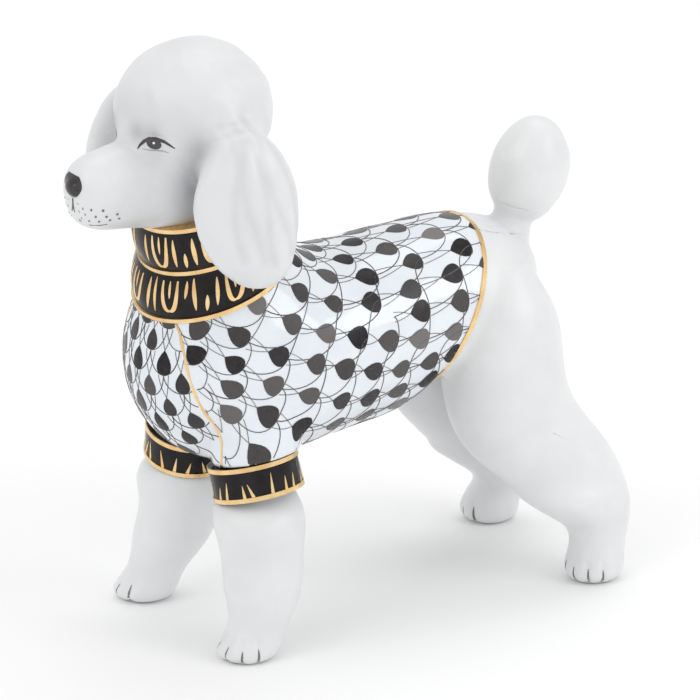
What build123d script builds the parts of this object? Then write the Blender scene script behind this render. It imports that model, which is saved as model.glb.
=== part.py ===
from build123d import *

# A standing poodle in a sweater: a hollow porcelain figurine, luted together from pieces that are
# cast in separate moulds, with enamel and gold laid over them.
#
# Millimetres, +Z up. The dog looks along -Y and its left side is +X. The left side is modelled,
# and the right side is its mirror image. Y is counted from the front paws while the pieces are
# made; the finished figure is moved so that the origin is the middle of its base.

import os
from math import cos, radians, sin

# ---- driving dimensions -------------------------------------------------------------------
WALL = 2.4  # thickness of the cast shell
VENT_RADIUS = 1.0  # the air hole under the belly that the kiln needs
VENT_Y = 30.0
VENT_REACH = 50.0  # from the floor up into the hollow
NECK_TILT = 20.0  # the neck leans forward by this many degrees
NECK_RADIUS = 8.0  # the neck inside its collar
NECK_BORE = NECK_RADIUS - WALL
GOLD_WIDTH = 0.8
GOLD_RAISE = 0.2  # how far a gold line stands off the glaze
GROOVE_GOLD_RAISE = 0.4  # and in the grooves above, between and below the collar's rolls
CUFF_HEIGHT = 6.2
CUFF_RADIUS = 7.9
CUFF_CENTRE = (10.8, 6.0, 30.7)
CUFF_ROLL = 14.0  # the outer side of a cuff is higher than its inner side
CUFF_PITCH = 5.0  # and its rear is higher than its front
SPIGOT_RADIUS = 5.0  # the leg's spigot inside the cuff and the sleeve
SPIGOT_BORE = 2.6
SPIGOT_RISE = 3.0  # how far the spigot stands up inside the sleeve
HIP_SEAM = (0, 60.5, 30.7)  # a point of the plane where a hind leg is luted to its thigh
HIP_SEAM_TILT = 32.0

# ---- the body ------------------------------------------------------------------------------
# The sweater's rings, from the collar back to the hem. Each ring crosses the middle plane at a
# low point (y, z) and a high point (y, z), and has a half width.
SWEATER_RINGS = [
    ((-9.3, 60.4), (16.7, 69.9), 13.6),
    ((-11.4, 51.7), (20.5, 67.2), 16.6),
    ((-9.2, 40.7), (25.5, 65.5), 18.4),
    ((0.0, 32.4), (31.5, 65.1), 18.6),
    ((14.0, 30.8), (38.5, 65.6), 17.6),
    ((27.5, 32.4), (46.5, 66.2), 16.0),
    ((40.5, 36.8), (55.5, 65.5), 14.6),
]
# The collar's two rolls stand on the first ring: y, z and radius of each of their rings, which are
# all parallel to it.
LOWER_ROLL = [(3.7, 65.2, 14.1), (3.5, 69.2, 14.4), (3.2, 73.3, 12.8)]
UPPER_ROLL = [(3.2, 73.3, 12.8), (2.6, 77.2, 13.5), (1.8, 81.2, 12.6)]
# The rump goes on from the hem, and closes at a point.
RUMP_RINGS = [
    SWEATER_RINGS[-1],
    ((49.0, 40.2), (61.5, 63.8), 13.8),
    ((57.5, 45.2), (66.0, 60.6), 11.0),
]
RUMP_END = (0, 68.5, 51.4)

# ---- the limbs: centre x, y, z and the half widths across and along --------------------------
SLEEVE = [
    (9.6, 6.4, 49.2, 7.0, 9.2),
    (10.6, 6.0, 41.2, 7.4, 8.6),
    (10.9, 6.0, 33.2, 7.5, 7.7),
    (11.0, 6.0, 26.2, 7.4, 7.5),
]
FRONT_LEG = [
    (10.9, 6.0, 33.2, 7.0, 7.0),
    (11.8, 6.0, 26.2, 7.3, 7.3),
    (13.3, 5.6, 19.2, 7.5, 7.6),
    (14.7, 5.0, 12.7, 7.0, 7.0),
    (16.0, 3.9, 8.2, 5.9, 6.0),
    (16.7, 2.6, 5.2, 5.1, 5.4),
    (17.1, 0.7, 2.3, 5.4, 5.8),
    (17.1, 0.7, 0.0, 3.6, 4.0),
]
HIND_LEG = [
    (7.0, 58.0, 59.2, 5.5, 6.5),
    (8.5, 57.6, 52.2, 8.8, 9.0),
    (9.4, 57.4, 44.2, 9.8, 11.0),
    (10.0, 58.4, 34.2, 9.8, 11.6),
    (11.7, 64.0, 24.2, 8.8, 12.6),
    (13.4, 68.2, 18.2, 7.5, 10.9),
    (14.8, 72.0, 12.2, 6.3, 7.9),
    (16.0, 73.2, 6.8, 4.9, 5.0),
    (16.9, 72.2, 4.4, 5.1, 5.1),
    (17.2, 71.7, 2.2, 5.2, 5.3),
    (17.2, 71.7, 0.0, 3.4, 3.5),
]
HOLLOW_HIND = 7  # a hind leg is hollow down to this many stations
HOLLOW_FRONT = 5

# ---- the head and the tail --------------------------------------------------------------------
# The face, from the back of the skull forward to the muzzle's end: y, z, half width, half height.
FACE = [
    (8.0, 87.7, 10.0, 10.5),
    (-2.0, 86.4, 10.8, 11.2),
    (-9.0, 85.6, 8.8, 9.2),
    (-15.0, 85.2, 6.7, 7.7),
    (-20.0, 85.1, 6.0, 6.9),
    (-23.0, 85.2, 4.9, 5.6),
    (-24.4, 85.5, 3.0, 3.4),
]
TOPKNOT_CENTRE = (0, 0.0, 96.1)
TOPKNOT_RADII = (13.1, 14.3, 13.1)
NOSE_CENTRE = (0, -23.9, 86.7)
NOSE_RADII = (2.3, 1.6, 1.8)
SOCKET_CENTRE = (8.2, -13.6, 93.8)
SOCKET_RADII = (4.0, 3.8, 3.0)
EYE_CENTRE = (5.6, -10.8, 94.2)
EYE_RADII = (1.8, 1.8, 1.3)
EAR_CENTRE = (18.0, -0.4, 83.6)
EAR_RADII = (5.2, 10.1, 14.6)
EAR_FLARE = 8.0  # the ears hang away from the neck
POMPOM_CENTRE = (0, 69.0, 71.5)
POMPOM_RADII = (6.8, 7.0, 9.6)
TAIL_TILT = 18.0
STALK_RADII = (4.6, 3.0)  # at its root and inside the pompom
STALK_ROOT = (0, 63.5, 57.2)
STALK_LENGTH = 9.0


# ---- ways of shaping --------------------------------------------------------------------------
def ring_plane(low, high):
    """The plane of a body ring, whose own y axis points from the low point to the high one."""
    middle = (0, (low[0] + high[0]) / 2, (low[1] + high[1]) / 2)
    rise = Vector(0, high[0] - low[0], high[1] - low[1])
    return Plane(middle, x_dir=(1, 0, 0), z_dir=Vector(1, 0, 0).cross(rise))


def ring_height(low, high):
    return Vector(high[0] - low[0], high[1] - low[1]).length


def ring_loft(rings, inset=0.0, end=None):
    """A loft through body rings that are drawn in by inset. It closes at the point end, if any."""
    with BuildPart() as body:
        for low, high, half_width in rings:
            with BuildSketch(ring_plane(low, high)):
                Ellipse(half_width - inset, ring_height(low, high) / 2 - inset)
        if end:
            loft(sections=[*body.pending_faces, Vertex(*end)])
        else:
            loft()
    return body.part


def limb_loft(stations, inset=0.0):
    """A loft through level ellipses that are drawn in by inset."""
    with BuildPart() as limb:
        for x, y, z, across, along in stations:
            with BuildSketch(Plane((x, y, z))):
                Ellipse(across - inset, along - inset)
        loft()
    return limb.part


def face_loft(stations, inset=0.0):
    """A loft through upright ellipses, from the back of the head to the end of the muzzle."""
    with BuildPart() as face:
        for y, z, half_width, half_height in stations:
            with BuildSketch(Plane((0, y, z), x_dir=(1, 0, 0), z_dir=(0, -1, 0))):
                Ellipse(half_width - inset, half_height - inset)
        loft()
    return face.part


def ellipsoid(centre, radii, turn=(0, 0, 0), inset=0.0):
    """An ellipsoid, turned about its own centre."""
    with BuildPart() as ball:
        Sphere(1)
        scale(by=tuple(radius - inset for radius in radii))
    return Location(centre, turn) * ball.part


def neck_ring(y, z):
    """A plane across the neck."""
    return Plane((0, y, z), x_dir=(1, 0, 0), z_dir=neck_direction)


def neck_loft(rings, radius=None):
    """A loft through rings across the neck, with their own radii or with one radius."""
    with BuildPart() as length:
        for y, z, ring_radius in rings:
            with BuildSketch(neck_ring(y, z)):
                Circle(radius or ring_radius)
        loft()
    return length.part


def rim_band(plane, radius, raise_by=GOLD_RAISE):
    """The blank of a gold line on a round rim, a short drum that the pieces behind it hollow out."""
    with BuildPart() as band:
        with BuildSketch(plane):
            Circle(radius + raise_by)
        extrude(amount=GOLD_WIDTH / 2, both=True)
    return band.part


neck_direction = Vector(0, -sin(radians(NECK_TILT)), cos(radians(NECK_TILT)))
cuff_plane = Plane(Location(CUFF_CENTRE, (CUFF_PITCH, -CUFF_ROLL, 0)))
hem_plane = ring_plane(*SWEATER_RINGS[-1][:2])
hip_plane = Plane(Location(HIP_SEAM, (-HIP_SEAM_TILT, 0, 0)))
stalk_plane = Plane(Location(STALK_ROOT, (-TAIL_TILT, 0, 0)))

# ---- the outer shapes, which also cut one another ----------------------------------------------
with BuildPart() as sleeve:
    add(limb_loft(SLEEVE))
    split(bisect_by=cuff_plane.offset(CUFF_HEIGHT / 2), keep=Keep.TOP)

with BuildPart() as sweater_shape:
    add(ring_loft(SWEATER_RINGS))
    add(sleeve.part)
    mirror(sleeve.part, about=Plane.YZ)

with BuildPart() as hind_limb:
    add(limb_loft(HIND_LEG))
    split(bisect_by=hem_plane, keep=Keep.BOTTOM)

with BuildPart() as thigh:
    add(hind_limb.part)
    split(bisect_by=hip_plane, keep=Keep.TOP)

with BuildPart() as rump_shape:
    add(ring_loft(RUMP_RINGS, end=RUMP_END))
    add(thigh.part)
    mirror(thigh.part, about=Plane.YZ)

socket = ellipsoid(SOCKET_CENTRE, SOCKET_RADII)
with BuildPart() as head_shape:
    add(face_loft(FACE))
    add(ellipsoid(TOPKNOT_CENTRE, TOPKNOT_RADII))
    add(socket, mode=Mode.SUBTRACT)
    mirror(socket, about=Plane.YZ, mode=Mode.SUBTRACT)

with BuildPart() as collar_shape:
    add(neck_loft(LOWER_ROLL))
    add(neck_loft(UPPER_ROLL))

neck_rings = [*LOWER_ROLL[:-1], *UPPER_ROLL]

with BuildPart() as cuff_shape:
    with BuildSketch(cuff_plane.offset(-CUFF_HEIGHT / 2)):
        Circle(CUFF_RADIUS)
    extrude(amount=CUFF_HEIGHT)

with BuildPart() as front_limb:
    add(limb_loft(FRONT_LEG))
    split(bisect_by=cuff_plane.offset(-CUFF_HEIGHT / 2), keep=Keep.BOTTOM)

# ---- the hollows that the slip leaves ------------------------------------------------------------
with BuildPart() as body_hollow:
    add(ring_loft(SWEATER_RINGS, inset=WALL))
with BuildPart() as rump_hollow:
    add(ring_loft(RUMP_RINGS, inset=WALL, end=(0, RUMP_END[1] - WALL, RUMP_END[2])))
with BuildPart() as hind_hollow:
    add(limb_loft(HIND_LEG[1:HOLLOW_HIND], inset=WALL))
with BuildPart() as front_hollow:
    add(limb_loft(FRONT_LEG[1:HOLLOW_FRONT], inset=WALL))

pieces = {}


def both_sides(name, left):
    """Keep a left piece and its mirror image as two pieces."""
    with BuildPart() as right:
        mirror(left.part, about=Plane.YZ)
    pieces[f"left_{name}"] = left
    pieces[f"right_{name}"] = right


# ---- sweater body: torso shell with the two sleeves ------------------------------------------------
with BuildPart() as spigot:
    with BuildSketch(cuff_plane.offset(-CUFF_HEIGHT / 2)):
        Circle(SPIGOT_RADIUS)
    extrude(amount=CUFF_HEIGHT + SPIGOT_RISE)

with BuildPart() as sweater_body:
    add(sweater_shape.part)
    add(body_hollow.part, mode=Mode.SUBTRACT)
    add(spigot.part, mode=Mode.SUBTRACT)
    mirror(spigot.part, about=Plane.YZ, mode=Mode.SUBTRACT)
    with BuildSketch(Plane((0, VENT_Y, 0))):
        Circle(VENT_RADIUS)
    extrude(amount=VENT_REACH, mode=Mode.SUBTRACT)
pieces["sweater_body"] = sweater_body

# ---- cuffs and front legs --------------------------------------------------------------------------
with BuildPart() as left_cuff:
    add(cuff_shape.part)
    add(spigot.part, mode=Mode.SUBTRACT)
    add(sweater_shape.part, mode=Mode.SUBTRACT)
both_sides("cuff", left_cuff)

with BuildPart() as left_front_leg:
    add(front_limb.part)
    add(spigot.part)
    add(front_hollow.part, mode=Mode.SUBTRACT)
    with BuildSketch(cuff_plane.offset(-CUFF_HEIGHT)):
        Circle(SPIGOT_BORE)
    extrude(amount=2 * CUFF_HEIGHT + SPIGOT_RISE, mode=Mode.SUBTRACT)
both_sides("front_leg", left_front_leg)

# ---- hindquarters and hind legs --------------------------------------------------------------------
with BuildPart() as hindquarters:
    add(rump_shape.part)
    add(rump_hollow.part, mode=Mode.SUBTRACT)
    add(hind_hollow.part, mode=Mode.SUBTRACT)
    mirror(hind_hollow.part, about=Plane.YZ, mode=Mode.SUBTRACT)
    add(sweater_shape.part, mode=Mode.SUBTRACT)
pieces["hindquarters"] = hindquarters

with BuildPart() as left_hind_leg:
    add(hind_limb.part)
    split(bisect_by=hip_plane, keep=Keep.BOTTOM)
    add(hind_hollow.part, mode=Mode.SUBTRACT)
both_sides("hind_leg", left_hind_leg)

# ---- tail ------------------------------------------------------------------------------------------
with BuildPart() as tail_pompom:
    add(ellipsoid(POMPOM_CENTRE, POMPOM_RADII, turn=(-TAIL_TILT, 0, 0)))
pieces["tail_pompom"] = tail_pompom

with BuildPart() as tail_stalk:
    with BuildSketch(stalk_plane):
        Circle(STALK_RADII[0])
    with BuildSketch(stalk_plane.offset(STALK_LENGTH)):
        Circle(STALK_RADII[1])
    loft()
    add(rump_shape.part, mode=Mode.SUBTRACT)
    add(rump_hollow.part, mode=Mode.SUBTRACT)
    add(tail_pompom.part, mode=Mode.SUBTRACT)
pieces["tail_stalk"] = tail_stalk

# ---- head, ears, nose and eyes ---------------------------------------------------------------------
with BuildPart() as head:
    add(head_shape.part)
    add(neck_loft(neck_rings, NECK_RADIUS))
    add(ellipsoid(TOPKNOT_CENTRE, TOPKNOT_RADII, inset=WALL), mode=Mode.SUBTRACT)
    add(face_loft(FACE[:4], inset=WALL), mode=Mode.SUBTRACT)
    add(neck_loft(neck_rings, NECK_BORE), mode=Mode.SUBTRACT)
pieces["head"] = head

with BuildPart() as left_ear:
    add(ellipsoid(EAR_CENTRE, EAR_RADII, turn=(0, -EAR_FLARE, 0)))
    add(head_shape.part, mode=Mode.SUBTRACT)
    add(collar_shape.part, mode=Mode.SUBTRACT)
    add(sweater_shape.part, mode=Mode.SUBTRACT)
both_sides("ear", left_ear)

with BuildPart() as nose:
    add(ellipsoid(NOSE_CENTRE, NOSE_RADII))
    add(head_shape.part, mode=Mode.SUBTRACT)
pieces["nose"] = nose

with BuildPart() as left_eye:
    add(ellipsoid(EYE_CENTRE, EYE_RADII))
    add(head_shape.part, mode=Mode.SUBTRACT)
both_sides("eye", left_eye)

# ---- collar ----------------------------------------------------------------------------------------
with BuildPart() as collar_lower_roll:
    add(neck_loft(LOWER_ROLL))
    add(neck_loft(neck_rings, NECK_RADIUS), mode=Mode.SUBTRACT)
    add(head_shape.part, mode=Mode.SUBTRACT)
pieces["collar_lower_roll"] = collar_lower_roll

with BuildPart() as collar_upper_roll:
    add(neck_loft(UPPER_ROLL))
    add(neck_loft(neck_rings, NECK_RADIUS), mode=Mode.SUBTRACT)
    add(head_shape.part, mode=Mode.SUBTRACT)
pieces["collar_upper_roll"] = collar_upper_roll

# ---- gold lines ------------------------------------------------------------------------------------
rims = {
    "collar_bottom_gold": LOWER_ROLL[0],
    "collar_middle_gold": UPPER_ROLL[0],
    "collar_top_gold": UPPER_ROLL[-1],
}
for name, (y, z, radius) in rims.items():
    with BuildPart() as rim:
        add(rim_band(neck_ring(y, z), radius, GROOVE_GOLD_RAISE))
        add(collar_shape.part, mode=Mode.SUBTRACT)
        add(sweater_shape.part, mode=Mode.SUBTRACT)
        add(head_shape.part, mode=Mode.SUBTRACT)
        add(left_ear.part, mode=Mode.SUBTRACT)
        mirror(left_ear.part, about=Plane.YZ, mode=Mode.SUBTRACT)
    pieces[name] = rim

rim_height = (CUFF_HEIGHT - GOLD_WIDTH) / 2
for name, height in (("cuff_top_gold", rim_height), ("cuff_bottom_gold", -rim_height)):
    with BuildPart() as rim:
        add(rim_band(cuff_plane.offset(height), CUFF_RADIUS))
        add(cuff_shape.part, mode=Mode.SUBTRACT)
        add(sweater_shape.part, mode=Mode.SUBTRACT)
        add(front_limb.part, mode=Mode.SUBTRACT)
    both_sides(name, rim)

hem_low, hem_high, hem_half_width = SWEATER_RINGS[-1]
with BuildPart() as hem_gold:
    with BuildSketch(hem_plane):
        Ellipse(hem_half_width + GOLD_RAISE, ring_height(hem_low, hem_high) / 2 + GOLD_RAISE)
    extrude(amount=GOLD_WIDTH / 2, both=True)
    add(ring_loft(SWEATER_RINGS), mode=Mode.SUBTRACT)
    add(ring_loft(RUMP_RINGS, end=RUMP_END), mode=Mode.SUBTRACT)
    add(rump_shape.part, mode=Mode.SUBTRACT)
pieces["hem_gold"] = hem_gold

# ---- the finished figure ---------------------------------------------------------------------------
lengthwise = [edge for piece in pieces.values() for edge in
              (piece.part.bounding_box().min.Y, piece.part.bounding_box().max.Y)]
base_middle = (min(lengthwise) + max(lengthwise)) / 2

os.makedirs("parts", exist_ok=True)
for name, piece in pieces.items():
    piece.part.label = name
    piece.part.location = Location((0, -base_middle, 0)) * piece.part.location
    export_step(piece.part, f"parts/{name}.step")
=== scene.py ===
# A porcelain poodle in a painted sweater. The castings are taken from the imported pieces, softened
# where the clay was sponged, and parted again at the potter's seams. The brushwork is laid over
# them stroke by stroke. Metres; the dog looks along -Y and its left side is +X.

import math
import random

import bmesh
import bpy
import numpy as np
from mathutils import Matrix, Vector
from mathutils.bvhtree import BVHTree


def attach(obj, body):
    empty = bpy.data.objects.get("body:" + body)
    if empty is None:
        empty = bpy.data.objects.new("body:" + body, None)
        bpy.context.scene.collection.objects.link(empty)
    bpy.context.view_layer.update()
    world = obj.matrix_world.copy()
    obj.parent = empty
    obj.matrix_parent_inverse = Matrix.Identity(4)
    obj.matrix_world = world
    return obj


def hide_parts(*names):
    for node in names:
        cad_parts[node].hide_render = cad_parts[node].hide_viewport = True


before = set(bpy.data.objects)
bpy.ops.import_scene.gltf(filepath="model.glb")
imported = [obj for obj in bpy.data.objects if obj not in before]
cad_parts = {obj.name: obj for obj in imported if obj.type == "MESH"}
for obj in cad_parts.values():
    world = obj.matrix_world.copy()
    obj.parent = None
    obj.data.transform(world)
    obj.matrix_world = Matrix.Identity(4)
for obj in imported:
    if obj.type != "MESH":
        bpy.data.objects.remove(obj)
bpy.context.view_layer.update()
dice = random.Random(7)

MM = 0.001
PAW_LINE = -27.2  # lengthwise millimetres are counted from the front paws, which stand here
SIDES = (("left", 1), ("right", -1))

# The sweater's rings from collar to hem: low (y, z), high (y, z), half width.
RINGS = [
    ((-9.3, 60.4), (16.7, 69.9), 13.6),
    ((-11.4, 51.7), (20.5, 67.2), 16.6),
    ((-9.2, 40.7), (25.5, 65.5), 18.4),
    ((0.0, 32.4), (31.5, 65.1), 18.6),
    ((14.0, 30.8), (38.5, 65.6), 17.6),
    ((27.5, 32.4), (46.5, 66.2), 16.0),
    ((40.5, 36.8), (55.5, 65.5), 14.6),
]
NECK_TILT = math.radians(20)
CUFF_ROLL = math.radians(14)
CUFF_PITCH = math.radians(5)
HIP_TILT = math.radians(32)
TAIL_TILT = math.radians(18)


def at(x, y, z):
    """A place on the figure, from millimetres counted from the middle, the front paws and the floor."""
    return Vector((x, y + PAW_LINE, z)) * MM


COLLAR_BASE = at(0, 3.7, 65.2)
NECK_AXIS = Vector((0, -math.sin(NECK_TILT), math.cos(NECK_TILT)))
HEM = at(0, 48, 51.15)
HEM_NORMAL = Vector((0, 28.7, -15.0)).normalized()
HIP = at(0, 60.5, 30.7)
HIP_NORMAL = Vector((0, math.sin(HIP_TILT), math.cos(HIP_TILT)))
STALK_ROOT = at(0, 63.5, 57.2)
STALK_AXIS = Vector((0, math.sin(TAIL_TILT), math.cos(TAIL_TILT)))


def cuff_centre(side):
    return at(10.8 * side, 6.0, 30.7)


def cuff_axis(side):
    lean = math.cos(CUFF_ROLL)
    return Vector((-math.sin(CUFF_ROLL) * side, -math.sin(CUFF_PITCH) * lean, math.cos(CUFF_PITCH) * lean))


# ---- hands ---------------------------------------------------------------------------------------
def take(*pieces):
    """Selects just these pieces, and makes the first one active."""
    bpy.ops.object.select_all(action="DESELECT")
    for piece in pieces:
        piece.select_set(True)
    bpy.context.view_layer.objects.active = pieces[0]


def apply(piece, kind, **settings):
    """Adds a modifier with these settings and applies it."""
    take(piece)
    modifier = piece.modifiers.new(kind.lower(), kind)
    for name, value in settings.items():
        setattr(modifier, name, value)
    bpy.ops.object.modifier_apply(modifier=modifier.name)


def clone(piece, name):
    copy = piece.copy()
    copy.data = piece.data.copy()
    copy.name = copy.data.name = name
    bpy.context.scene.collection.objects.link(copy)
    return copy


def casting(name, *nodes):
    """One mesh from copies of CAD nodes, with their loose triangles merged."""
    copies = []
    for node in nodes:
        copy = clone(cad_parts[node], name)
        copy.parent = None
        for mark in list(copy.keys()):
            del copy[mark]
        copies.append(copy)
    take(*copies)
    if len(copies) > 1:
        bpy.ops.object.join()
    piece = copies[0]
    bpy.ops.object.mode_set(mode="EDIT")
    bpy.ops.mesh.select_all(action="SELECT")
    bpy.ops.mesh.remove_doubles(threshold=0.001 * MM)
    bpy.ops.object.mode_set(mode="OBJECT")
    piece.data.materials.clear()
    return piece


def sponge(piece, grain, rounds):
    """Gives a casting one even skin, and rubs its joins soft."""
    apply(piece, "REMESH", mode="VOXEL", voxel_size=grain * MM)
    apply(piece, "SMOOTH", factor=0.5, iterations=rounds)
    take(piece)
    bpy.ops.object.shade_smooth()


def cut(piece, point, normal):
    """Takes off what lies on the normal's side of a plane, and closes the cut."""
    take(piece)
    bpy.ops.object.mode_set(mode="EDIT")
    bpy.ops.mesh.select_all(action="SELECT")
    bpy.ops.mesh.bisect(plane_co=point, plane_no=normal, clear_outer=True, use_fill=True)
    bpy.ops.object.mode_set(mode="OBJECT")


def finish_cut(piece):
    take(piece)
    bpy.ops.object.shade_smooth_by_angle(angle=math.radians(50))


def corners_of(piece):
    """A piece's vertices as rows."""
    rows = np.empty(len(piece.data.vertices) * 3)
    piece.data.vertices.foreach_get("co", rows)
    return rows.reshape(-1, 3)


def nearness(rows, line, radius):
    """1 on a line of points, and fading softly to 0 away from it."""
    gaps = np.full(len(rows), 1e9)
    line = [np.array(point) for point in line]
    for a, b in zip(line, line[1:] or line):
        run = b - a
        share = np.clip((rows - a) @ run / max(run @ run, 1e-18), 0, 1)
        gaps = np.minimum(gaps, np.linalg.norm(rows - a - share[:, None] * run, axis=1))
    return np.exp(-((gaps / (radius * MM)) ** 2))


def dent(piece, line, radius, depth):
    """Presses a soft groove along a line of points, or raises a ridge if depth is negative."""
    rows = corners_of(piece)
    normals = np.array([normal.vector for normal in piece.data.vertex_normals])
    rows -= normals * (nearness(rows, line, radius) * depth * MM)[:, None]
    piece.data.vertices.foreach_set("co", rows.ravel())
    piece.data.update()


def airbrush_grey_and_shade(piece, puffs):
    """Writes how much grey airbrushing and painted shade darken each vertex: puffs are (line of points,
    radius, strength).
    """
    rows = corners_of(piece)
    clear = np.ones(len(rows))
    for line, radius, strength in puffs:
        clear *= 1 - strength * nearness(rows, line, radius)
    grey_and_shade = piece.data.attributes.new("grey_and_shade", "FLOAT", "POINT")
    grey_and_shade.data.foreach_set("value", 1 - clear)


def clay_marks(piece, size, height):
    """Leaves the faint waves of hand-sponged clay on a piece."""
    waves = bpy.data.textures.new("clay_waves", "CLOUDS")
    waves.noise_scale = size * MM
    waves.noise_depth = 1
    apply(piece, "DISPLACE", texture=waves, texture_coords="LOCAL", strength=height * MM, mid_level=0.5)


def skin_of(*pieces):
    """The surface that the brush meets, from several pieces together."""
    corners, faces = [], []
    for piece in pieces:
        first = len(corners)
        corners.extend(vertex.co.copy() for vertex in piece.data.vertices)
        faces.extend([first + corner for corner in face.vertices] for face in piece.data.polygons)
    return BVHTree.FromPolygons(corners, faces)


# ---- finishes ------------------------------------------------------------------------------------
def colour(value):
    return (*value, 1.0)


def new_group(name, inputs, outputs):
    tree = bpy.data.node_groups.new(name, "ShaderNodeTree")
    for label, kind, value in inputs:
        socket = tree.interface.new_socket(name=label, in_out="INPUT", socket_type=kind)
        socket.default_value = value
    for label, kind in outputs:
        tree.interface.new_socket(name=label, in_out="OUTPUT", socket_type=kind)
    return tree, tree.nodes.new("NodeGroupInput"), tree.nodes.new("NodeGroupOutput")


def mottle_group():
    """Two colours clouded into each other, with a height and a roughness that vary with them."""
    tree, given, out = new_group(
        "kiln_mottle",
        [
            ("Colour", "NodeSocketColor", colour((0.8, 0.8, 0.8))),
            ("Cloud Colour", "NodeSocketColor", colour((0.7, 0.7, 0.7))),
            ("Cloud Scale", "NodeSocketFloat", 90.0),
            ("Fine Scale", "NodeSocketFloat", 900.0),
            ("Low Roughness", "NodeSocketFloat", 0.1),
            ("High Roughness", "NodeSocketFloat", 0.2),
        ],
        [("Colour", "NodeSocketColor"), ("Roughness", "NodeSocketFloat"), ("Height", "NodeSocketFloat")],
    )
    nodes, links = tree.nodes, tree.links
    place = nodes.new("ShaderNodeTexCoord")
    cloud = nodes.new("ShaderNodeTexNoise")
    cloud.inputs["Detail"].default_value = 4.0
    fine = nodes.new("ShaderNodeTexNoise")
    fine.inputs["Detail"].default_value = 2.0
    contrast = nodes.new("ShaderNodeMapRange")
    contrast.inputs["From Min"].default_value = 0.35
    contrast.inputs["From Max"].default_value = 0.7
    blend = nodes.new("ShaderNodeMix")
    blend.data_type = "RGBA"
    rough = nodes.new("ShaderNodeMapRange")
    height = nodes.new("ShaderNodeMath")
    height.operation = "MULTIPLY_ADD"
    height.inputs[1].default_value = 0.25
    links.new(place.outputs["Object"], cloud.inputs["Vector"])
    links.new(place.outputs["Object"], fine.inputs["Vector"])
    links.new(given.outputs["Cloud Scale"], cloud.inputs["Scale"])
    links.new(given.outputs["Fine Scale"], fine.inputs["Scale"])
    links.new(cloud.outputs["Fac"], contrast.inputs["Value"])
    links.new(contrast.outputs["Result"], blend.inputs["Factor"])
    links.new(given.outputs["Colour"], blend.inputs["A"])
    links.new(given.outputs["Cloud Colour"], blend.inputs["B"])
    links.new(fine.outputs["Fac"], rough.inputs["Value"])
    links.new(given.outputs["Low Roughness"], rough.inputs["To Min"])
    links.new(given.outputs["High Roughness"], rough.inputs["To Max"])
    links.new(fine.outputs["Fac"], height.inputs[0])
    links.new(cloud.outputs["Fac"], height.inputs[2])
    links.new(blend.outputs["Result"], out.inputs["Colour"])
    links.new(rough.outputs["Result"], out.inputs["Roughness"])
    links.new(height.outputs["Value"], out.inputs["Height"])
    return tree


MOTTLE = mottle_group()


def material(name, base, cloud, scales, roughness, relief, coat=0.0, metal=0.0,
             specular=0.5):
    """A finish with the kiln's mottle in its colour, roughness and bump; returns it and its nodes."""
    finish = bpy.data.materials.new(name)
    finish.use_nodes = True
    nodes, links = finish.node_tree.nodes, finish.node_tree.links
    shader = nodes["Principled BSDF"]
    mottle = nodes.new("ShaderNodeGroup")
    mottle.node_tree = MOTTLE
    mottle.inputs["Colour"].default_value = colour(base)
    mottle.inputs["Cloud Colour"].default_value = colour(cloud)
    mottle.inputs["Cloud Scale"].default_value = scales[0]
    mottle.inputs["Fine Scale"].default_value = scales[1]
    mottle.inputs["Low Roughness"].default_value = roughness[0]
    mottle.inputs["High Roughness"].default_value = roughness[1]
    bump = nodes.new("ShaderNodeBump")
    bump.inputs["Strength"].default_value = 1.0
    bump.inputs["Distance"].default_value = relief * MM
    links.new(mottle.outputs["Colour"], shader.inputs["Base Color"])
    links.new(mottle.outputs["Roughness"], shader.inputs["Roughness"])
    links.new(mottle.outputs["Height"], bump.inputs["Height"])
    links.new(bump.outputs["Normal"], shader.inputs["Normal"])
    shader.inputs["Coat Weight"].default_value = coat
    shader.inputs["Specular IOR Level"].default_value = specular
    shader.inputs["Coat Roughness"].default_value = 0.04
    shader.inputs["Metallic"].default_value = metal
    return finish, nodes, links, shader, mottle


def wash_over(parts, wash_colour, attribute):
    """Mixes a second colour into a finish where an attribute says so."""
    _, nodes, links, shader, mottle = parts
    amount = nodes.new("ShaderNodeAttribute")
    amount.attribute_name = attribute
    mix = nodes.new("ShaderNodeMix")
    mix.data_type = "RGBA"
    mix.inputs["B"].default_value = colour(wash_colour)
    links.new(amount.outputs["Fac"], mix.inputs["Factor"])
    links.new(mottle.outputs["Colour"], mix.inputs["A"])
    links.new(mix.outputs["Result"], shader.inputs["Base Color"])
    return parts[0]


# The second colour is the grey of the airbrushing and the painted shade, mixed in where the grey_and_shade
# attribute says.
white_glaze = wash_over(
    material("white_glaze", (0.77, 0.78, 0.785), (0.72, 0.73, 0.74), (120, 500), (0.26, 0.38), 0.03),
    (0.26, 0.27, 0.29), "grey_and_shade")
# The second colour here is painted shade under the chest and belly, mixed in where the grey_and_shade
# attribute says.
sweater_glaze = wash_over(
    material("sweater_glaze", (0.80, 0.84, 0.88), (0.74, 0.79, 0.84), (140, 600), (0.08, 0.16), 0.03,
             coat=0.5),
    (0.55, 0.6, 0.68), "grey_and_shade")
black_enamel = material(
    "black_enamel", (0.008, 0.007, 0.008), (0.020, 0.017, 0.018), (260, 1400), (0.05, 0.16), 0.05,
    specular=0.2)[0]
fired_gold = material(
    "fired_gold", (0.82, 0.54, 0.24), (0.93, 0.70, 0.38), (420, 2200), (0.20, 0.38), 0.05, metal=1.0)[0]
scale_paint = wash_over(
    material("scale_paint", (0.014, 0.012, 0.013), (0.030, 0.026, 0.027), (900, 2400), (0.18, 0.34), 0.02,
             specular=0.18),
    (0.24, 0.22, 0.22), "tone")
feature_paint = wash_over(
    material("feature_paint", (0.02, 0.017, 0.017), (0.045, 0.039, 0.039), (900, 2400), (0.1, 0.25), 0.02,
             coat=0.2, specular=0.35),
    (0.35, 0.34, 0.35), "tone")
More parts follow.
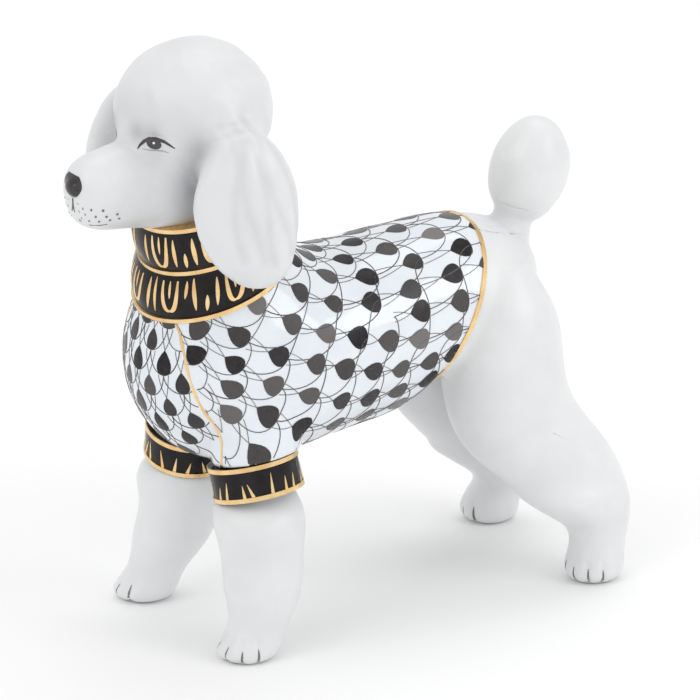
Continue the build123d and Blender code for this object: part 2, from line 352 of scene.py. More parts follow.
# White for the painted highlights on the eyes.
highlight_white = material(
    "highlight_white", (0.9, 0.9, 0.9), (0.84, 0.84, 0.86), (600, 3000), (0.1, 0.2), 0.01, coat=0.5)[0]


def settle(piece, finish, slot, *nodes):
    """Gives a piece its finish, fixes it to the root and hides the CAD nodes that it stands for; the slot is
    not used.
    """
    piece.data.materials.clear()
    piece.data.materials.append(finish)
    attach(piece, "root")
    if nodes:
        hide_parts(*nodes)


# ---- the castings --------------------------------------------------------------------------------
LEGS = ["left_front_leg", "right_front_leg", "left_hind_leg", "right_hind_leg"]
figure = casting("figure", "sweater_body", "hindquarters", "head", "collar_lower_roll",
                 "collar_upper_roll", "tail_stalk", "tail_pompom", *LEGS)
VENT_PLUG = at(0, 30, 33)  # a ball of clay over the air hole under the belly
VENT_PLUG_RADIUS = 2 * MM
bpy.ops.mesh.primitive_ico_sphere_add(subdivisions=3, radius=VENT_PLUG_RADIUS, location=VENT_PLUG)
take(figure, bpy.context.active_object)
bpy.ops.object.join()
sponge(figure, 0.42, 26)
clay_marks(figure, 9, 0.35)

PAWS = {"front": at(17.1, 0.7, 0), "hind": at(17.2, 71.7, 0)}
PAW_TURN = math.radians(27)  # the paws point outward


def toe_line(paw, side, turn, low, high):
    """Points up a paw's front, on the line between two toes."""
    aim = PAW_TURN + turn
    out = Vector((math.sin(aim), -math.cos(aim), 0))
    line = []
    for step in range(5):
        height = low + (high - low) * step / 4
        point = PAWS[paw] + out * 9 * MM + Vector((0, 0, height * MM))
        line.append((Vector((point.x * side, point.y, point.z)), Vector((-out.x * side, -out.y, 0))))
    return line


TOE_TURNS = [math.radians(turn) for turn in (-52, -17, 17, 50)]
figure_skin = skin_of(figure)
for paw in PAWS:
    for _, side in SIDES:
        for turn in TOE_TURNS:
            line = [figure_skin.ray_cast(point, aim)[0] for point, aim in toe_line(paw, side, turn, 0.5, 4.2)]
            dent(figure, [spot for spot in line if spot], 0.55, 0.28)
figure_skin = skin_of(figure)

sweater = clone(figure, "sweater_knit")
cut(sweater, COLLAR_BASE, NECK_AXIS)
cut(sweater, HEM, HEM_NORMAL)
for _, side in SIDES:
    cut(sweater, cuff_centre(side), -cuff_axis(side))

hind = clone(figure, "hind_casting")
cut(hind, HEM, -HEM_NORMAL)
rump = clone(hind, "rump_casting")
cut(rump, HIP, -HIP_NORMAL)
stalk = clone(rump, "tail_stalk_casting")
STALK_FOOT = STALK_ROOT + STALK_AXIS * 4.5 * MM
cut(rump, STALK_FOOT, STALK_AXIS)
cut(stalk, STALK_FOOT, -STALK_AXIS)
cut(stalk, STALK_ROOT + STALK_AXIS * 9 * MM, STALK_AXIS)

legs = {}
for name, side in SIDES:
    leg = clone(hind, f"{name}_hind_leg_casting")
    cut(leg, HIP, HIP_NORMAL)
    cut(leg, Vector((0, 0, 0)), Vector((-side, 0, 0)))
    legs[f"{name}_hind_leg"] = leg
    leg = clone(figure, f"{name}_front_leg_casting")
    cut(leg, HEM, HEM_NORMAL)
    cut(leg, cuff_centre(side), cuff_axis(side))
    cut(leg, Vector((0, 0, 0)), Vector((-side, 0, 0)))
    legs[f"{name}_front_leg"] = leg
for leftover in (figure, hind):
    bpy.data.objects.remove(leftover)

pompom = casting("pompom_casting", "tail_pompom")
sponge(pompom, 0.4, 4)
clay_marks(pompom, 7, 0.5)
nose = casting("nose_casting", "nose")
sponge(nose, 0.2, 6)

# The head and the ears are sponged together, so that the ears grow out of the topknot, and then parted.
head = casting("head_casting", "head", "left_ear", "right_ear", "left_eye", "right_eye")
EAR_ROOT_RADII = (4.4, 7.6, 7.0)  # the ball of clay that joins an ear to the topknot, in millimetres
for _, side in SIDES:
    bpy.ops.mesh.primitive_ico_sphere_add(subdivisions=4, radius=MM, location=at(side * 12.4, 0.0, 91.5),
                                          scale=EAR_ROOT_RADII)
    take(head, bpy.context.active_object)
    bpy.ops.object.join()
# A core fills the neck inside the collar. The hollow of the head above it stays open at the nape.
NECK_CORE = at(0, 2.65, 74)
NECK_CORE_RADIUS = 7.4 * MM
NECK_CORE_LENGTH = 20 * MM
NECK_SLANT = math.radians(6.8)
bpy.ops.mesh.primitive_cylinder_add(vertices=48, radius=NECK_CORE_RADIUS, depth=NECK_CORE_LENGTH,
                                    location=NECK_CORE, rotation=(NECK_SLANT, 0, 0))
take(head, bpy.context.active_object)
bpy.ops.object.join()
sponge(head, 0.4, 12)


def rub(piece, lines, radius, rounds):
    """Rubs a piece softer near some lines."""
    rows = corners_of(piece)
    weights = np.zeros(len(rows))
    for line in lines:
        weights = np.maximum(weights, nearness(rows, line, radius))
    near = piece.vertex_groups.new(name="rubbed")
    for index in np.nonzero(weights > 0.02)[0]:
        near.add([int(index)], float(weights[index]), "REPLACE")
    apply(piece, "SMOOTH", factor=0.5, iterations=rounds, vertex_group="rubbed")
    piece.vertex_groups.clear()


EAR_ROOTS = [[at(side * 13, -6, 92), at(side * 13.5, -3, 96), at(side * 13.5, 4, 96), at(side * 13, 7, 92)]
             for _, side in SIDES]
EYES = [[at(side * 5.6, -11.5, 94.2)] for _, side in SIDES]
rub(head, EAR_ROOTS, 5.0, 260)
rub(head, EYES, 2.6, 24)

# The ears' tips swing back a little.
rows = corners_of(head)
on_ear = np.clip((np.abs(rows[:, 0]) / MM - 12.5) / 1.5, 0, 1)
below = np.clip(86 - rows[:, 2] / MM, 0, 20)
rows[:, 1] += on_ear * below ** 2 * 0.009 * MM
head.data.vertices.foreach_set("co", rows.ravel())
head.data.update()
clay_marks(head, 7, 0.4)


def ear_lock(side, offset, wander):
    """A line down the outer face of an ear, between two locks of hair."""
    line = []
    for step in range(13):
        share = step / 12
        y = 0.6 + offset * (0.45 + 0.65 * math.sin(math.pi * 0.62 * share)) + 3.0 * share ** 2
        y += wander * math.sin(share * 6.0 + offset)
        line.append(at(side * 17, y, 98 - (23.5 - 0.25 * abs(offset)) * share))
    return line


EAR_LOCKS = ((-6.6, 0.4, 1.2, 0.26), (-3.9, 0.8, 1.4, 0.30), (-0.6, 0.6, 1.0, 0.16),
             (2.2, 0.9, 1.5, 0.30), (5.6, 0.5, 1.2, 0.22))
TOPKNOT = at(0, 0, 96.1)
locks = []
head_skin = skin_of(head)
for _, side in SIDES:
    outside = Vector((side, 0, 0))
    for offset, wander, radius, depth in EAR_LOCKS:
        spots = [head_skin.ray_cast(point + outside * 30 * MM, -outside)[0]
                 for point in ear_lock(side, offset, wander)]
        locks.append(([spot for spot in spots if spot], radius, depth))
for number in range(14):
    turn = 2 * math.pi * (number + dice.uniform(-0.2, 0.2)) / 14
    spots = []
    for step in range(8):
        drop = math.radians(25 + 7 * step)
        swirl = turn + 0.12 * step
        aim = Vector((math.sin(swirl) * math.sin(drop), -math.cos(swirl) * math.sin(drop), math.cos(drop)))
        spots.append(head_skin.ray_cast(TOPKNOT + aim * 40 * MM, -aim)[0])
    locks.append(([spot for spot in spots if spot], 1.3, 0.14))
for spots, radius, depth in locks:
    dent(head, spots, radius, depth)

EAR_SEAM_TILT = math.radians(16)  # the plane that an ear is luted on slants inwards below its root


def ear_seam(side):
    return at(14.4 * side, 0, 94), Vector((side * math.cos(EAR_SEAM_TILT), 0, -math.sin(EAR_SEAM_TILT)))


ears = {}
for name, side in SIDES:
    ear = clone(head, f"{name}_ear_casting")
    root, outward = ear_seam(side)
    cut(ear, root, -outward)
    ears[f"{name}_ear"] = ear
for _, side in SIDES:
    cut(head, *ear_seam(side))

for piece in (rump, stalk, head, *legs.values(), *ears.values(), sweater):
    finish_cut(piece)

# Grey airbrushing with painted shade: darkening painted into the groove in front of each ear, round the eyes,
# under the jaw, lightly over the whole head, between the legs and under the belly.
# A faint painted shade over the whole head, then per side: the ear-cheek groove, the ear's front edge, above
# and below the eye, the forehead and the jaw line.
head_grey_and_shade = [([TOPKNOT], 40, 0.07)]
for _, side in SIDES:
    head_grey_and_shade += [
        ([at(side * 12.6, -5.5, 93), at(side * 10.2, -6.0, 86), at(side * 9.0, -6.0, 79.5)], 3.4, 0.8),
        ([at(side * 14.5, -9.5, 90), at(side * 15.5, -9.6, 82)], 2.0, 0.25),
        ([at(side * 3.4, -12.9, 96.0)], 1.8, 0.55),
        ([at(side * 6.2, -11.5, 96.4)], 1.7, 0.42),
        ([at(side * 6.8, -12.0, 92.0)], 1.8, 0.2),
        ([at(side * 2, -13, 99), at(side * 9, -9.5, 99)], 3.2, 0.12),
        ([at(side * 7, -12, 79), at(side * 4, -18, 78.5)], 2.0, 0.12),
    ]
# Painted shade along the grooves between the locks of the ears.
for locks_line, _, _ in locks[:2 * len(EAR_LOCKS)]:
    head_grey_and_shade.append((locks_line, 0.9, 0.15))
for piece in (head, *ears.values()):
    airbrush_grey_and_shade(piece, head_grey_and_shade)
# Painted shade between the hind legs and round the root of the tail.
for piece in (rump, stalk, pompom, *legs.values()):
    airbrush_grey_and_shade(piece, [([at(0, 55, 40), at(0, 62, 20)], 9, 0.25), ([at(0, 64, 62.5)], 4, 0.18)])
# Painted shade under the chest and belly.
airbrush_grey_and_shade(sweater, [([at(0, 6, 36), at(0, 30, 32)], 9, 0.3)])

settle(sweater, sweater_glaze, "scale_glaze", "sweater_body")
settle(rump, white_glaze, "white_glaze", "hindquarters")
settle(stalk, white_glaze, "white_glaze", "tail_stalk")
settle(head, white_glaze, "white_glaze", "head")
settle(pompom, white_glaze, "white_glaze", "tail_pompom")
settle(nose, black_enamel, "black_enamel", "nose")
for node, piece in {**legs, **ears}.items():
    settle(piece, white_glaze, "white_glaze", node)

for node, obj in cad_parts.items():
    if "gold" in node:
        obj.data.materials.clear()
        obj.data.materials.append(fired_gold)
    elif "roll" in node or "cuff" in node:
        obj.data.materials.clear()
        obj.data.materials.append(black_enamel)

# ---- brushwork: strokes laid on the glaze --------------------------------------------------------
LIFT = 0.02 * MM  # the paint's underside stands this far off the glaze
PAINT = 0.05 * MM  # and it is this thick
BRUSH_REACH = 30 * MM
STROKE_LEAP = 3 * MM  # a stroke with a wider gap than this has left the glaze, and isn't painted
SEAM_LEAP = 2.5 * MM  # a long seam is lifted and set down again at a gap as wide as this
PATCH_LEAP = 2 * MM


def press(skin, centre, point, stray=9.0):
    """Where a brush that comes from outside, through a point towards a centre, meets the skin."""
    outward = (point - centre).normalized()
    spot, normal, _, _ = skin.ray_cast(point + outward * BRUSH_REACH, -outward)
    if not spot or (spot - point).length > stray * MM:
        return None
    side = 1 if spot.x > 0 else -1
    if skin is figure_skin and (spot - cuff_centre(side)).dot(cuff_axis(side)) < -MM:
        return None
    return spot, normal


def ribbon(paint, touches, width, tone):
    """A brushstroke through touches of the skin, as wide as width says at each share of its length."""
    touches = [touch for touch in touches if touch]
    if len(touches) < 2 or max((b[0] - a[0]).length for a, b in zip(touches, touches[1:])) > STROKE_LEAP:
        return
    layer = paint.verts.layers.float["tone"]
    last = len(touches) - 1
    rails = []
    for step, (spot, normal) in enumerate(touches):
        run = touches[min(step + 1, last)][0] - touches[max(step - 1, 0)][0]
        side = normal.cross(run).normalized() * max(width(step / last), 0.04) * MM / 2
        pair = [paint.verts.new(spot + normal * LIFT + shift) for shift in (-side, side)]
        for corner in pair:
            corner[layer] = tone
        rails.append(pair)
    for (right, left), (far_right, far_left) in zip(rails, rails[1:]):
        paint.faces.new((right, far_right, far_left, left))


def unbroken(touches):
    """The stretches of a long stroke in which the brush doesn't leave the glaze."""
    runs = [[]]
    for touch in touches:
        if not touch or (runs[-1] and (touch[0] - runs[-1][-1][0]).length > SEAM_LEAP):
            runs.append([])
        if touch:
            runs[-1].append(touch)
    return [run for run in runs if len(run) > 3]


def patch(paint, skin, centre, start, run, width, tone, rows=9, columns=4):
    """A filled shape of paint along a run, as broad as width says at each share of it."""
    touch = press(skin, centre, start + run / 2)
    if not touch:
        return
    layer = paint.verts.layers.float["tone"]
    across = touch[1].cross(run).normalized() * MM / 2
    grid = []
    for row in range(rows + 1):
        share = math.sin(row / rows * math.pi / 2)
        line = []
        for column in range(columns + 1):
            shift = across * (2 * column / columns - 1) * max(width(share), 0.05)
            touch = press(skin, centre, start + run * share + shift)
            if not touch or (line and (line[-1].co - touch[0]).length > PATCH_LEAP):
                return
            corner = paint.verts.new(touch[0] + touch[1] * LIFT)
            corner[layer] = tone
            line.append(corner)
        grid.append(line)
    for near, far in zip(grid, grid[1:]):
        for column in range(columns):
            paint.faces.new((near[column], far[column], far[column + 1], near[column + 1]))


def new_paint():
    paint = bmesh.new()
    paint.verts.layers.float.new("tone")
    return paint


def fire(paint, name, finish, slot, *trims):
    """Makes a piece of laid paint: trimmed by planes, given its thickness, and fixed to the figure."""
    mesh = bpy.data.meshes.new(name)
    paint.to_mesh(mesh)
    paint.free()
    piece = bpy.data.objects.new(name, mesh)
    bpy.context.scene.collection.objects.link(piece)
    for point, normal in trims:
        take(piece)
        bpy.ops.object.mode_set(mode="EDIT")
        bpy.ops.mesh.select_all(action="SELECT")
        bpy.ops.mesh.bisect(plane_co=point, plane_no=normal, clear_outer=True)
        bpy.ops.object.mode_set(mode="OBJECT")
    apply(piece, "SOLIDIFY", thickness=PAINT, offset=1.0)
    take(piece)
    bpy.ops.object.shade_smooth_by_angle(angle=math.radians(50))
    settle(piece, finish, slot)
    return piece


def swelling(full, power=0.6):
    """The width of a stroke that swells in the middle and tapers at both ends."""
    return lambda share: full * math.sin(math.pi * min(max(share, 0.02), 0.98)) ** power


def even(full):
    return lambda share: full


# ---- the fish-scale pattern ----------------------------------------------------------------------
def ring(t):
    """The middle of the sweater's ring at t, its half rise and its half width."""
    first = min(max(int(math.floor(t)), 0), len(RINGS) - 2)
    share = t - first
    rows = []
    for place in (first - 1, first, first + 1, first + 2):
        low, high, half = RINGS[min(max(place, 0), len(RINGS) - 1)]
        rows.append(np.array((*low, *high, half)))
    if 0 <= t <= len(RINGS) - 1:
        a, b, c, d = rows
        row = b + 0.5 * share * (c - a + share * (2 * a - 5 * b + 4 * c - d + share * (3 * (b - c) + d - a)))
    else:
        row = rows[1] + share * (rows[2] - rows[1])
    low, high = at(0, row[0], row[1]), at(0, row[2], row[3])
    return (low + high) / 2, (high - low) / 2, row[4] * MM


def on_torso(t, turn):
    """A point of the torso at t between collar and hem, turned by degrees from the back to its left."""
    middle, rise, half = ring(t)
    turn = math.radians(turn)
    return middle + rise * math.cos(turn) + Vector((half * math.sin(turn), 0, 0))


def torso_place(point):
    """The t and the turn, from 0 at the back to 180 at the belly, of a point of the sweater."""
    near, far = -1.0, 7.5
    for _ in range(12):
        t = (near + far) / 2
        middle, rise, half = ring(t)
        if (point - middle).dot(Vector((0, rise.z, -rise.y))) > 0:
            near = t
        else:
            far = t
    up = (point - middle).dot(rise) / rise.length_squared
    return t, math.degrees(math.atan2(abs(point.x) / half, up))


def seam_turn(t):
    """The turn of the raglan seam, which runs from the collar to the cuff's inner front."""
    stops = ((0, 153), (0.4, 146), (0.8, 142), (1.5, 139), (2.1, 137), (2.5, 140), (2.9, 149), (3.0, 185))
    for (t0, turn0), (t1, turn1) in zip(stops, stops[1:]):
        if t < t1:
            return turn0 + (turn1 - turn0) * max(t - t0, 0) / (t1 - t0)
    return 185


LINE_STEP = 16.4  # degrees between the pattern's lines at mid body


def line_turn(line, t):
    """The turn of a pattern line, which sweeps down towards the collar and towards the hem."""
    number = abs(line)
    forward = min(max(number - 2, 0), 3) * 10 * (max(3 - t, 0) / 2.5) ** 2
    rearward = min(max(number - 3, 0), 1) * 9 * max(t - 3, 0)
    turn = number * LINE_STEP + forward + rearward
    on_sleeve = max(0, 1 - abs(t - 1.9) / 1.3)
    turn -= 0.5 * on_sleeve * max(turn - 112, 0)
    return math.copysign(min(turn, 180), line)


def row_place(line, row):
    """The t of a scale's tip: rows are closer together on the flanks than on the back."""
    flank = min(max((abs(line) * LINE_STEP - 30) / 45, 0), 1)
    back_t = 0.75 + 1.40 * row - 0.035 * row * abs(row)
    side_t = 0.50 + 0.95 * row - 0.028 * row * abs(row)
    return back_t + (side_t - back_t) * flank


def tip_of(line, row):
    t = row_place(line, row)
    return on_torso(t, line_turn(line, t))


SHIELD_LENGTH = 4.3
SHIELD_WIDTH = 3.8


def shield(width):
    """A drop's outline: a point that widens to a broad, nearly flat end."""
    def breadth(share):
        if share < 0.66:
            return width * math.sin(math.pi / 2 * share / 0.66) ** 0.9
        return width * math.sqrt(max(1 - ((share - 0.66) / 0.34) ** 2.6, 0))
    return breadth


def scale(outlines, drops, centre, tip, before, neighbours, size=1.0, slender=1.0,
          stray=9.0, filled=True):
    """One painted scale: its two arcs, its dark drop, and the hairs that run to the drop's point."""
    flow = (tip - before).normalized()
    touch = press(figure_skin, centre, tip, stray)
    if not touch:
        return
    across = touch[1].cross(flow).normalized()
    faint = dice.uniform(0.15, 0.6)
    for beside in neighbours:
        away = beside - tip
        back = flow * away.dot(flow)
        out = away - back
        touches = []
        for step in range(10):
            angle = step / 9 * math.pi / 2
            point = tip + out * math.cos(angle) + back * (1 - math.sin(angle))
            touches.append(press(figure_skin, centre, point, stray))
        ribbon(outlines, touches, even(dice.uniform(0.13, 0.18)), faint)
    length = SHIELD_LENGTH * size * slender * dice.uniform(0.9, 1.1)
    width = SHIELD_WIDTH * size * dice.uniform(0.88, 1.1)
    tone = dice.choice((0.0, 0.0, 0.05, 0.1, 0.15, 0.25, 0.4, 0.75)) * dice.uniform(0.7, 1.1)
    lean = across * dice.uniform(-0.25, 0.25) * MM
    start = tip - flow * length * MM + lean
    if filled:
        patch(drops, figure_skin, centre, start, tip - start, shield(width), tone)
    for hand in (-1, 1):
        root = before + across * hand * dice.uniform(0.8, 1.3) * MM
        bow = across * hand * 0.15 * MM
        touches = []
        for step in range(6):
            share = step / 5
            point = root.lerp(start, share) + bow * math.sin(math.pi * share)
            touches.append(press(figure_skin, centre, point, stray))
        ribbon(outlines, touches, even(0.10), faint + 0.15)


LAST_LINE = 11
EXTRA_LINE = 3.5  # one more line opens between the third and the fourth, behind this t
EXTRA_FROM = 4.0


def row_offset(line):
    """The lines are staggered by half a row; the extra one lies between its neighbours' rows."""
    return 0.25 if abs(line) == EXTRA_LINE else 0.5 * (line % 2)


def beside(line, hand, t):
    """The next line on one side, which is the extra one where that has opened."""
    if abs(line) == EXTRA_LINE:
        return line + 0.5 * hand
    after = line + hand
    if t > EXTRA_FROM and {abs(line), abs(after)} == {3, 4}:
        return line + 0.5 * hand
    return after


def nearest_row(line, row):
    return round(row - row_offset(line)) + row_offset(line)


FLANK_CLEAR = 7.5  # degrees between a drop's middle and the raglan seam
CHEST_CLEAR = 5.5
SEAM_BAND = 1.0  # degrees on each side of the seam that are wiped clean


def flank_stray(t):
    """How far the skin may lie from the torso's plain shape: furthest on the sleeve."""
    if t < 3.0:
        return 14.0
    return 8.0 if t < 3.6 else 3.5


def mend_seam(paint, hand):
    """Wipes off paint that crosses the raglan seam: the flank's with hand 1, the chest's with -1."""
    wrong = []
    for face in paint.faces:
        middle = face.calc_center_median()
        if middle.y > at(0, 12, 0).y or middle.z > at(0, 0, 68).z:
            continue
        t, turn = torso_place(middle)
        if hand * (turn - seam_turn(t)) > -SEAM_BAND:
            wrong.append(face)
    bmesh.ops.delete(paint, geom=wrong, context="FACES")


SWEATER_TRIMS = [(COLLAR_BASE, NECK_AXIS), (HEM, HEM_NORMAL),
                 (cuff_centre(1), -cuff_axis(1)), (cuff_centre(-1), -cuff_axis(-1))]


def fire_scales(outlines, drops, hand, name):
    """Mends a field of scales along the seam and makes its two pieces."""
    mend_seam(outlines, hand)
    mend_seam(drops, hand)
    fire(outlines, f"{name}_outlines", scale_paint, "black_enamel", *SWEATER_TRIMS)
    fire(drops, f"{name}_drops", scale_paint, "black_enamel", *SWEATER_TRIMS)


outlines, drops = new_paint(), new_paint()
pattern_lines = [line for line in range(1 - LAST_LINE, LAST_LINE + 1)] + [-EXTRA_LINE, EXTRA_LINE]
for line in pattern_lines:
    for number in range(-1, 9):
        row = number + row_offset(line)
        t = row_place(line, row)
        turn = abs(line_turn(line, t))
        if not -0.35 < t < 6.6 or turn > seam_turn(t) + 4 or (turn >= 179 and line != LAST_LINE):
            continue
        if abs(line) == EXTRA_LINE and t < EXTRA_FROM:
            continue
        neighbours = []
        for hand in (-1, 1):
            after = beside(line, hand, t)
            neighbours.append(tip_of(after, nearest_row(after, row - 0.5)))
        scale(outlines, drops, ring(t)[0], tip_of(line, row), tip_of(line, row - 1), neighbours,
              stray=flank_stray(t), filled=turn < seam_turn(t) - FLANK_CLEAR)

fire_scales(outlines, drops, 1, "scale")

CHEST_STEP = 11.5
CHEST_PITCH = 7.8
CHEST_RUN = (0, 8.95, 20.1, 32.5, 46.6)  # down the chest from the collar to each ring


def chest_tip(column, down):
    """A scale's tip on the chest, some millimetres down from the collar."""
    t = down / CHEST_RUN[1]
    for place, (start, end) in enumerate(zip(CHEST_RUN, CHEST_RUN[1:])):
        if start <= down < end:
            t = place + (down - start) / (end - start)
    return t, on_torso(t, 180 - CHEST_STEP * column)


outlines, drops = new_paint(), new_paint()
for column in range(-4, 5):
    for number in range(5):
        down = 2.4 + CHEST_PITCH * (number + 0.5 * (column % 2))
        t, tip = chest_tip(column, down)
        room = 180 - seam_turn(t) - abs(CHEST_STEP * column)
        if t > 2.8 or room < -6:
            continue
        before = chest_tip(column, down - CHEST_PITCH)[1]
        neighbours = [chest_tip(column + hand, down - CHEST_PITCH / 2)[1] for hand in (-1, 1)]
        scale(outlines, drops, ring(t)[0], tip, before, neighbours, 0.74, 1.28, filled=room > CHEST_CLEAR)
fire_scales(outlines, drops, -1, "chest_scale")

seams = new_paint()
for _, side in SIDES:
    touches = []
    for step in range(131):
        t = 2.95 * step / 130
        touches.append(press(figure_skin, ring(t)[0], on_torso(t, side * seam_turn(t)), stray=16.0))
    for run in unbroken(touches):
        ribbon(seams, run, lambda share: 0.5 + 0.12 * math.sin(share * 40), 0.0)
fire(seams, "raglan_seams", fired_gold, "fired_gold", *SWEATER_TRIMS)

# ---- gold on the collar --------------------------------------------------------------------------
NECK_LINE = ((3.7, 65.2, 14.1), (3.5, 69.2, 14.4), (3.2, 73.3, 12.8), (2.6, 77.2, 13.5), (1.8, 81.2, 12.6))
collar_skin = skin_of(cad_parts["collar_lower_roll"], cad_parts["collar_upper_roll"])
NECK_BACK = Vector((0, math.cos(NECK_TILT), math.sin(NECK_TILT)))


def on_collar(turn, height):
    """A touch on the collar, by degrees round from its front and height in millimetres."""
    for (y0, z0, r0), (y1, z1, r1) in zip(NECK_LINE, NECK_LINE[1:]):
        if height <= z1:
            break
    share = (height - z0) / (z1 - z0)
    middle = at(0, y0 + (y1 - y0) * share, height)
    angle = math.radians(turn)
    out = Vector((math.sin(angle), 0, 0)) - NECK_BACK * math.cos(angle)
    return press(collar_skin, middle, middle + out * (r0 + (r1 - r0) * share) * MM)


def collar_stroke(gold, turn, low, high, lean, width):
    touches = [on_collar(turn + lean * math.sin(share * math.pi / 2), low + (high - low) * share)
               for share in (step / 9 for step in range(10))]
    ribbon(gold, touches, swelling(width), 0.0)


def collar_loop(gold, turn, low, high, spread):
    """A U of gold, open at the top, with a short drop inside it."""
    touches = []
    for step in range(21):
        angle = math.pi * step / 20
        height = low + (high - low) * (1 - math.sin(angle)) ** 1.3
        touches.append(on_collar(turn - spread * math.cos(angle), height))
    ribbon(gold, touches, lambda share: 0.32 + 0.5 * abs(math.sin(share * 2 * math.pi)) ** 0.8, 0.0)
    collar_stroke(gold, turn, low + 0.45 * (high - low), high, 0, 0.5)


collar_gold = new_paint()
for low, high, marks in ((66.4, 72.5, "ddLsdsdLdsd"), (74.4, 80.4, "dLdsdLsd")):
    turn = 0.0
    number = 0
    while turn < 350:
        mark = marks[number % len(marks)]
        bottom = low + dice.uniform(0, 0.8)
        top = high - dice.uniform(0, 0.7)
        if mark == "L":
            collar_loop(collar_gold, turn + 9.5, bottom, top, dice.uniform(6, 7.5))
            turn += 19
        elif mark == "d":
            collar_stroke(collar_gold, turn + 4, bottom, top, dice.uniform(-2, 3), dice.uniform(0.6, 0.85))
            turn += dice.uniform(7.5, 9.5)
        else:
            middle = (bottom + top) / 2
            if dice.random() < 0.5:
                collar_stroke(collar_gold, turn + 3, bottom, middle, dice.uniform(-2, 2), 0.7)
            else:
                collar_stroke(collar_gold, turn + 3, middle, top, dice.uniform(-2, 2), 0.6)
            turn += dice.uniform(6, 7.5)
        number += 1
fire(collar_gold, "collar_gold_strokes", fired_gold, "fired_gold")

# ---- gold on the cuffs ---------------------------------------------------------------------------
CUFF_STROKES = 19
for name, side in SIDES:
    cuff_skin = skin_of(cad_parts[f"{name}_cuff"])
    axis = cuff_axis(side)
    front = Vector((0, -1, 0)) - axis * axis.dot(Vector((0, -1, 0)))
    front.normalize()
    sideways = axis.cross(front)
    gold = new_paint()
    for number in range(CUFF_STROKES):
        turn = math.radians(360 * number / CUFF_STROKES + dice.uniform(-4, 4))
        lean = math.radians(dice.uniform(-6, 8))
        reach = dice.uniform(2.2, 3.9)
        touches = []
        for step in range(8):
            share = step / 7
            angle = turn + lean * share
            middle = cuff_centre(side) + axis * (-2.3 + reach * share) * MM
            touches.append(press(cuff_skin, middle, middle + front * math.cos(angle) * MM
                                 + sideways * math.sin(angle) * MM))
        ribbon(gold, touches, lambda share: 0.62 * (1 - share) ** 0.7, 0.0)
    fire(gold, f"{name}_cuff_gold_strokes", fired_gold, "fired_gold")

# ---- the face and the toes -----------------------------------------------------------------------
face_skin = skin_of(head, nose)
EYE = at(5.6, -10.8, 94.2)
EYE_AIM = Vector((0.47, -0.88, 0.10)).normalized()
EYE_OUT = Vector((0.88, 0.47, 0)).normalized()
EYE_UP = EYE_AIM.cross(EYE_OUT)
LID = ((-3.1, -1.5), (-2.6, -0.7), (-1.8, 0.15), (-0.8, 0.75), (0.5, 0.9), (1.9, 0.6), (3.1, 0.05),
       (3.9, -0.35))


def on_face(side, out, up):
    """A touch near an eye, by millimetres out and up from the eye's middle, seen squarely."""
    point = EYE + (EYE_OUT * out + EYE_UP * up) * MM
    start = point + EYE_AIM * 15 * MM
    start.x *= side
    spot, normal, _, _ = face_skin.ray_cast(start, Vector((-EYE_AIM.x * side, -EYE_AIM.y, -EYE_AIM.z)))
    return (spot, normal) if spot else None


def eye_disc(paint, side, out, up, across, high, tone):
    """A round spot of paint on an eye."""
    layer = paint.verts.layers.float["tone"]
    rings = []
    for radius in (0.05, 0.5, 1.0):
        row = []
        for step in range(14):
            angle = 2 * math.pi * step / 14 * side
            touch = on_face(side, out + across * radius * math.cos(angle),
                            up + high * radius * math.sin(angle))
            corner = paint.verts.new(touch[0] + touch[1] * LIFT)
            corner[layer] = tone
            row.append(corner)
        rings.append(row)
    paint.faces.new(rings[0])
    for inner, outer in zip(rings, rings[1:]):
        for step in range(14):
            after = (step + 1) % 14
            paint.faces.new((inner[step], outer[step], outer[after], inner[after]))


painted_highlights = new_paint()
for name, side in SIDES:
    eye = new_paint()
    eye_disc(eye, side, 0.0, -0.1, 1.4, 1.0, 0.1)
    touches = [on_face(side, out, up) for out, up in LID]
    ribbon(eye, touches, lambda share: 0.14 + 0.55 * math.sin(math.pi * share) ** 0.8, 0.05)
    touches = [on_face(side, -2.2 + 0.7 * step, -1.35 - 0.1 * math.sin(step)) for step in range(8)]
    ribbon(eye, touches, swelling(0.14), 1.0)
    fire(eye, f"{name}_eye_paint", feature_paint, "eye_enamel")
    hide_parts(f"{name}_eye")
features = new_paint()
patch(features, face_skin, at(0, -15, 85), at(0, -22.8, 88.5), Vector((0, -2.1, -3.3)) * MM,
      lambda share: 5.1 * math.sin(math.pi * min(share * 0.8 + 0.16, 1)) ** 0.8, 0.0, rows=16, columns=10)

MUZZLE = at(0, -15, 85)
mouth = (at(0, -25.2, 84.8), at(0.05, -24.9, 83.6), at(0.3, -24.4, 82.6), at(1.3, -23.4, 81.2),
         at(2.5, -22.1, 80.5), at(3.5, -21.3, 80.2), at(4.4, -20.4, 80.1))
for _, side in SIDES:
    touches = [press(face_skin, MUZZLE, Vector((point.x * side, point.y, point.z))) for point in mouth]
    ribbon(features, touches, lambda share: 0.34 - 0.2 * share, 0.25)

# Whisker dots: three uneven rows along each side of the muzzle.
for row, (height, reach) in enumerate(((84.1, 4), (82.9, 5), (81.6, 5))):
    for number in range(reach):
        for _, side in SIDES:
            y = -24.3 + 0.25 * row + 1.3 * number + dice.uniform(-0.15, 0.15)
            z = height - 0.12 * number + dice.uniform(-0.15, 0.15)
            point = at(side * (1.6 + 0.95 * number + 0.2 * row), y, z)
            run = Vector((0, 0.55, 0.1)) * MM
            patch(features, face_skin, MUZZLE, point - run / 2, run, swelling(0.5), 0.4, rows=4, columns=2)

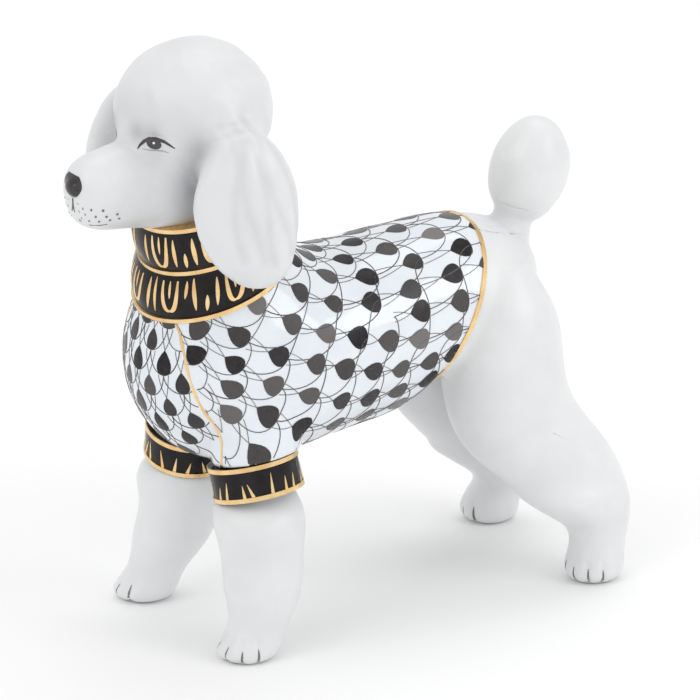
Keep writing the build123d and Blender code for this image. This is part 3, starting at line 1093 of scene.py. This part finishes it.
paw_skin = skin_of(*legs.values())
for paw in PAWS:
    for _, side in SIDES:
        for turn in TOE_TURNS:
            top = dice.uniform(2.6, 3.4)
            touches = []
            for point, aim in toe_line(paw, side, turn + math.radians(dice.uniform(-3, 3)), 0.7, top):
                spot, normal, _, _ = paw_skin.ray_cast(point, aim)
                touches.append((spot, normal) if spot else None)
            ribbon(features, touches, lambda share: 0.5 * (1 - share) ** 0.6 + 0.08, 0.45)
fire(features, "face_and_toe_strokes", feature_paint, "eye_enamel")

# A painted highlight on each eye: a small white dot on the iris, lifted a little forward and up.
for _, side in SIDES:
    eye_disc(painted_highlights, side, 0.2, 0.15, 0.22, 0.22, 0)
for corner in painted_highlights.verts:
    corner.co += Vector((0, -1, 0.2)) * 0.07 * MM
fire(painted_highlights, "eye_painted_highlights", highlight_white, "white_glaze")

# ---- floor, light and camera ---------------------------------------------------------------------
bpy.ops.mesh.primitive_plane_add(size=6, location=(0, 0, 0))
floor = bpy.context.active_object
floor.name = "table_top"
table_white = bpy.data.materials.new("table_white")
table_white.use_nodes = True
table_white.node_tree.nodes["Principled BSDF"].inputs["Base Color"].default_value = colour((0.96, 0.96, 0.96))
table_white.node_tree.nodes["Principled BSDF"].inputs["Roughness"].default_value = 0.7
floor.data.materials.append(table_white)

world = bpy.data.worlds.new("studio")
bpy.context.scene.world = world
world.use_nodes = True
world.node_tree.nodes["Background"].inputs["Color"].default_value = colour((1.0, 1.0, 1.0))
world.node_tree.nodes["Background"].inputs["Strength"].default_value = 0.86

LOOK_AT = Vector((0, 4.9, 45.1)) * MM


def soft_box(name, place, size, power):
    """A square soft box that shines at the figure."""
    lamp = bpy.data.lights.new(name, "AREA")
    lamp.shape = "SQUARE"
    lamp.size = size
    lamp.energy = power
    box = bpy.data.objects.new(name, lamp)
    bpy.context.scene.collection.objects.link(box)
    box.location = place
    box.rotation_euler = (LOOK_AT - box.location).to_track_quat("-Z", "Y").to_euler()


soft_box("key_soft_box", Vector((0.10, -0.75, 0.75)), 0.6, 1.3)
soft_box("side_soft_box", Vector((0.55, 0.42, 0.45)), 0.4, 1.0)
soft_box("top_soft_box", Vector((-0.25, 0.25, 0.95)), 0.6, 1.2)

VIEW_AZIMUTH = math.radians(58)
VIEW_HEIGHT = math.radians(21)
LENS = 1500.0
SENSOR = 36.0
FIELD = 122.2 * MM  # the width that the picture takes in at the figure
lens = bpy.data.cameras.new("portrait_lens")
lens.lens = LENS
lens.sensor_width = SENSOR
camera = bpy.data.objects.new("portrait_lens", lens)
bpy.context.scene.collection.objects.link(camera)
toward_camera = Vector((math.sin(VIEW_AZIMUTH) * math.cos(VIEW_HEIGHT),
                        -math.cos(VIEW_AZIMUTH) * math.cos(VIEW_HEIGHT), math.sin(VIEW_HEIGHT)))
camera.location = LOOK_AT + toward_camera * FIELD * LENS / SENSOR
camera.rotation_euler = toward_camera.to_track_quat("Z", "Y").to_euler()
lens.clip_end = 20.0
bpy.context.scene.camera = camera
bpy.context.scene.view_settings.view_transform = "Standard"
